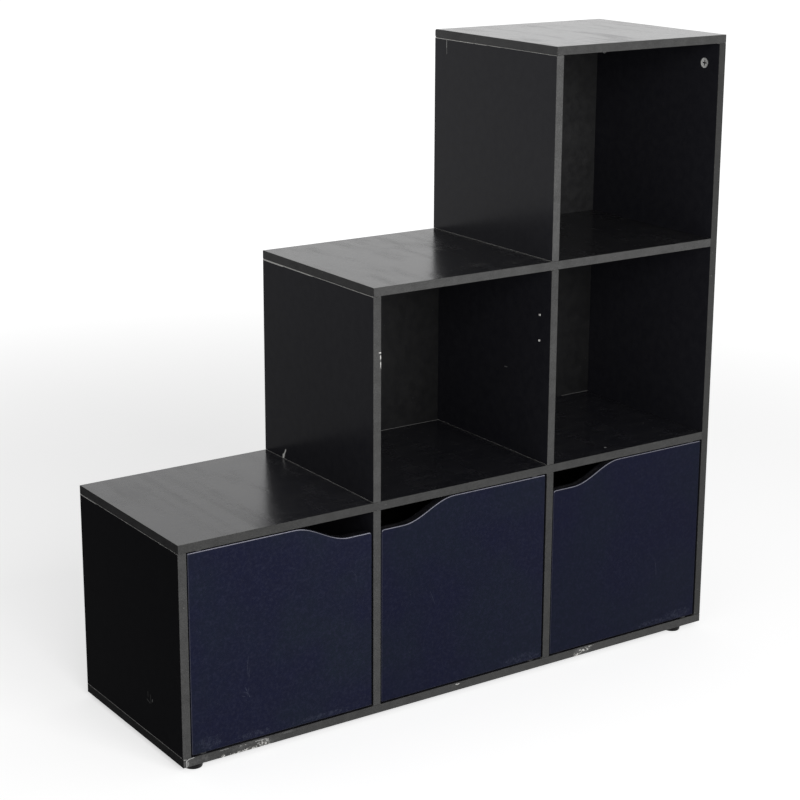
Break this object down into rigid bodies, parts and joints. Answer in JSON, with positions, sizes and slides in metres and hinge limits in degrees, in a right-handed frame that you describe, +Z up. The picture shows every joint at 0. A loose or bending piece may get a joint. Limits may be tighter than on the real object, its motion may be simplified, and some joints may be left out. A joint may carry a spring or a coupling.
{
  "type": "cube bookcase",
  "caption": "Stepped cube bookcase of black boards on low round feet, open cubes above and inset navy doors with wave-shaped finger cut-outs below.",
  "frame": {"origin": "on the floor under the middle of the case, at the bottom centre of the bounding box", "axes": "+Z up, +X to the right seen from the front, towards the tall column, and the doors face -Y"},
  "size_m": [0.912, 0.29, 0.92],
  "materials": {
    "board": "black melamine foil on particle board, satin, faint wood grain",
    "back": "black painted hardboard, matt",
    "door": "very dark navy foil on fibreboard, soft satin",
    "steel": "bright steel",
    "zinc": "cast zinc cam with a steel bolt, dull",
    "nylon": "black nylon",
    "catch": "dark brown moulded plastic",
    "foot": "black plastic glide"
  },
  "bodies": {
    "case": {"base_board": "board", "lower_shelf": "board", "middle_shelf": "board", "top_board": "board", "right_side": "board", "lower_left_side": "board", "middle_left_side": "board", "upper_left_side": "board", "lower_divider_1": "board", "lower_divider_2": "board", "middle_divider_1": "board", "lower_back_panel_1": "back", "lower_back_panel_2": "back", "lower_back_panel_3": "back", "middle_back_panel_1": "back", "middle_back_panel_2": "back", "upper_back_panel_1": "back", "left_door_lower_bush": "nylon", "left_door_upper_bush": "nylon", "middle_door_lower_bush": "nylon", "middle_door_upper_bush": "nylon", "right_door_lower_bush": "nylon", "right_door_upper_bush": "nylon", "left_door_catch": "catch", "middle_door_catch": "catch", "right_door_catch": "catch", "front_left_foot": "foot", "front_right_foot": "foot", "rear_left_foot": "foot", "rear_right_foot": "foot", "lower_left_side_bottom_front_cam": "zinc", "lower_left_side_bottom_rear_cam": "zinc", "lower_left_side_top_front_cam": "zinc", "lower_left_side_top_rear_cam": "zinc", "middle_left_side_bottom_front_cam": "zinc", "middle_left_side_bottom_rear_cam": "zinc", "middle_left_side_top_front_cam": "zinc", "middle_left_side_top_rear_cam": "zinc", "upper_left_side_bottom_front_cam": "zinc", "upper_left_side_bottom_rear_cam": "zinc", "upper_left_side_top_front_cam": "zinc", "upper_left_side_top_rear_cam": "zinc", "right_side_bottom_front_cam": "zinc", "right_side_bottom_rear_cam": "zinc", "right_side_top_front_cam": "zinc", "right_side_top_rear_cam": "zinc", "lower_shelf_end_front_cam": "zinc", "lower_shelf_end_rear_cam": "zinc", "middle_shelf_end_front_cam": "zinc", "middle_shelf_end_rear_cam": "zinc"},
    "left_door": {"left_door": "door", "left_door_lower_pin": "steel", "left_door_upper_pin": "steel"},
    "middle_door": {"middle_door": "door", "middle_door_lower_pin": "steel", "middle_door_upper_pin": "steel"},
    "right_door": {"right_door": "door", "right_door_lower_pin": "steel", "right_door_upper_pin": "steel"}
  },
  "joints": [
    {"name": "left_door_hinge", "type": "hinge", "parent": "case", "child": "left_door", "pos_m": [-0.424, -0.137, 0.164], "axis": [0, 0, -1], "range_deg": [0, 130]},
    {"name": "middle_door_hinge", "type": "hinge", "parent": "case", "child": "middle_door", "pos_m": [0.124, -0.137, 0.164], "axis": [0, 0, 1], "range_deg": [0, 130]},
    {"name": "right_door_hinge", "type": "hinge", "parent": "case", "child": "right_door", "pos_m": [0.424, -0.137, 0.164], "axis": [0, 0, 1], "range_deg": [0, 130]}
  ]
}
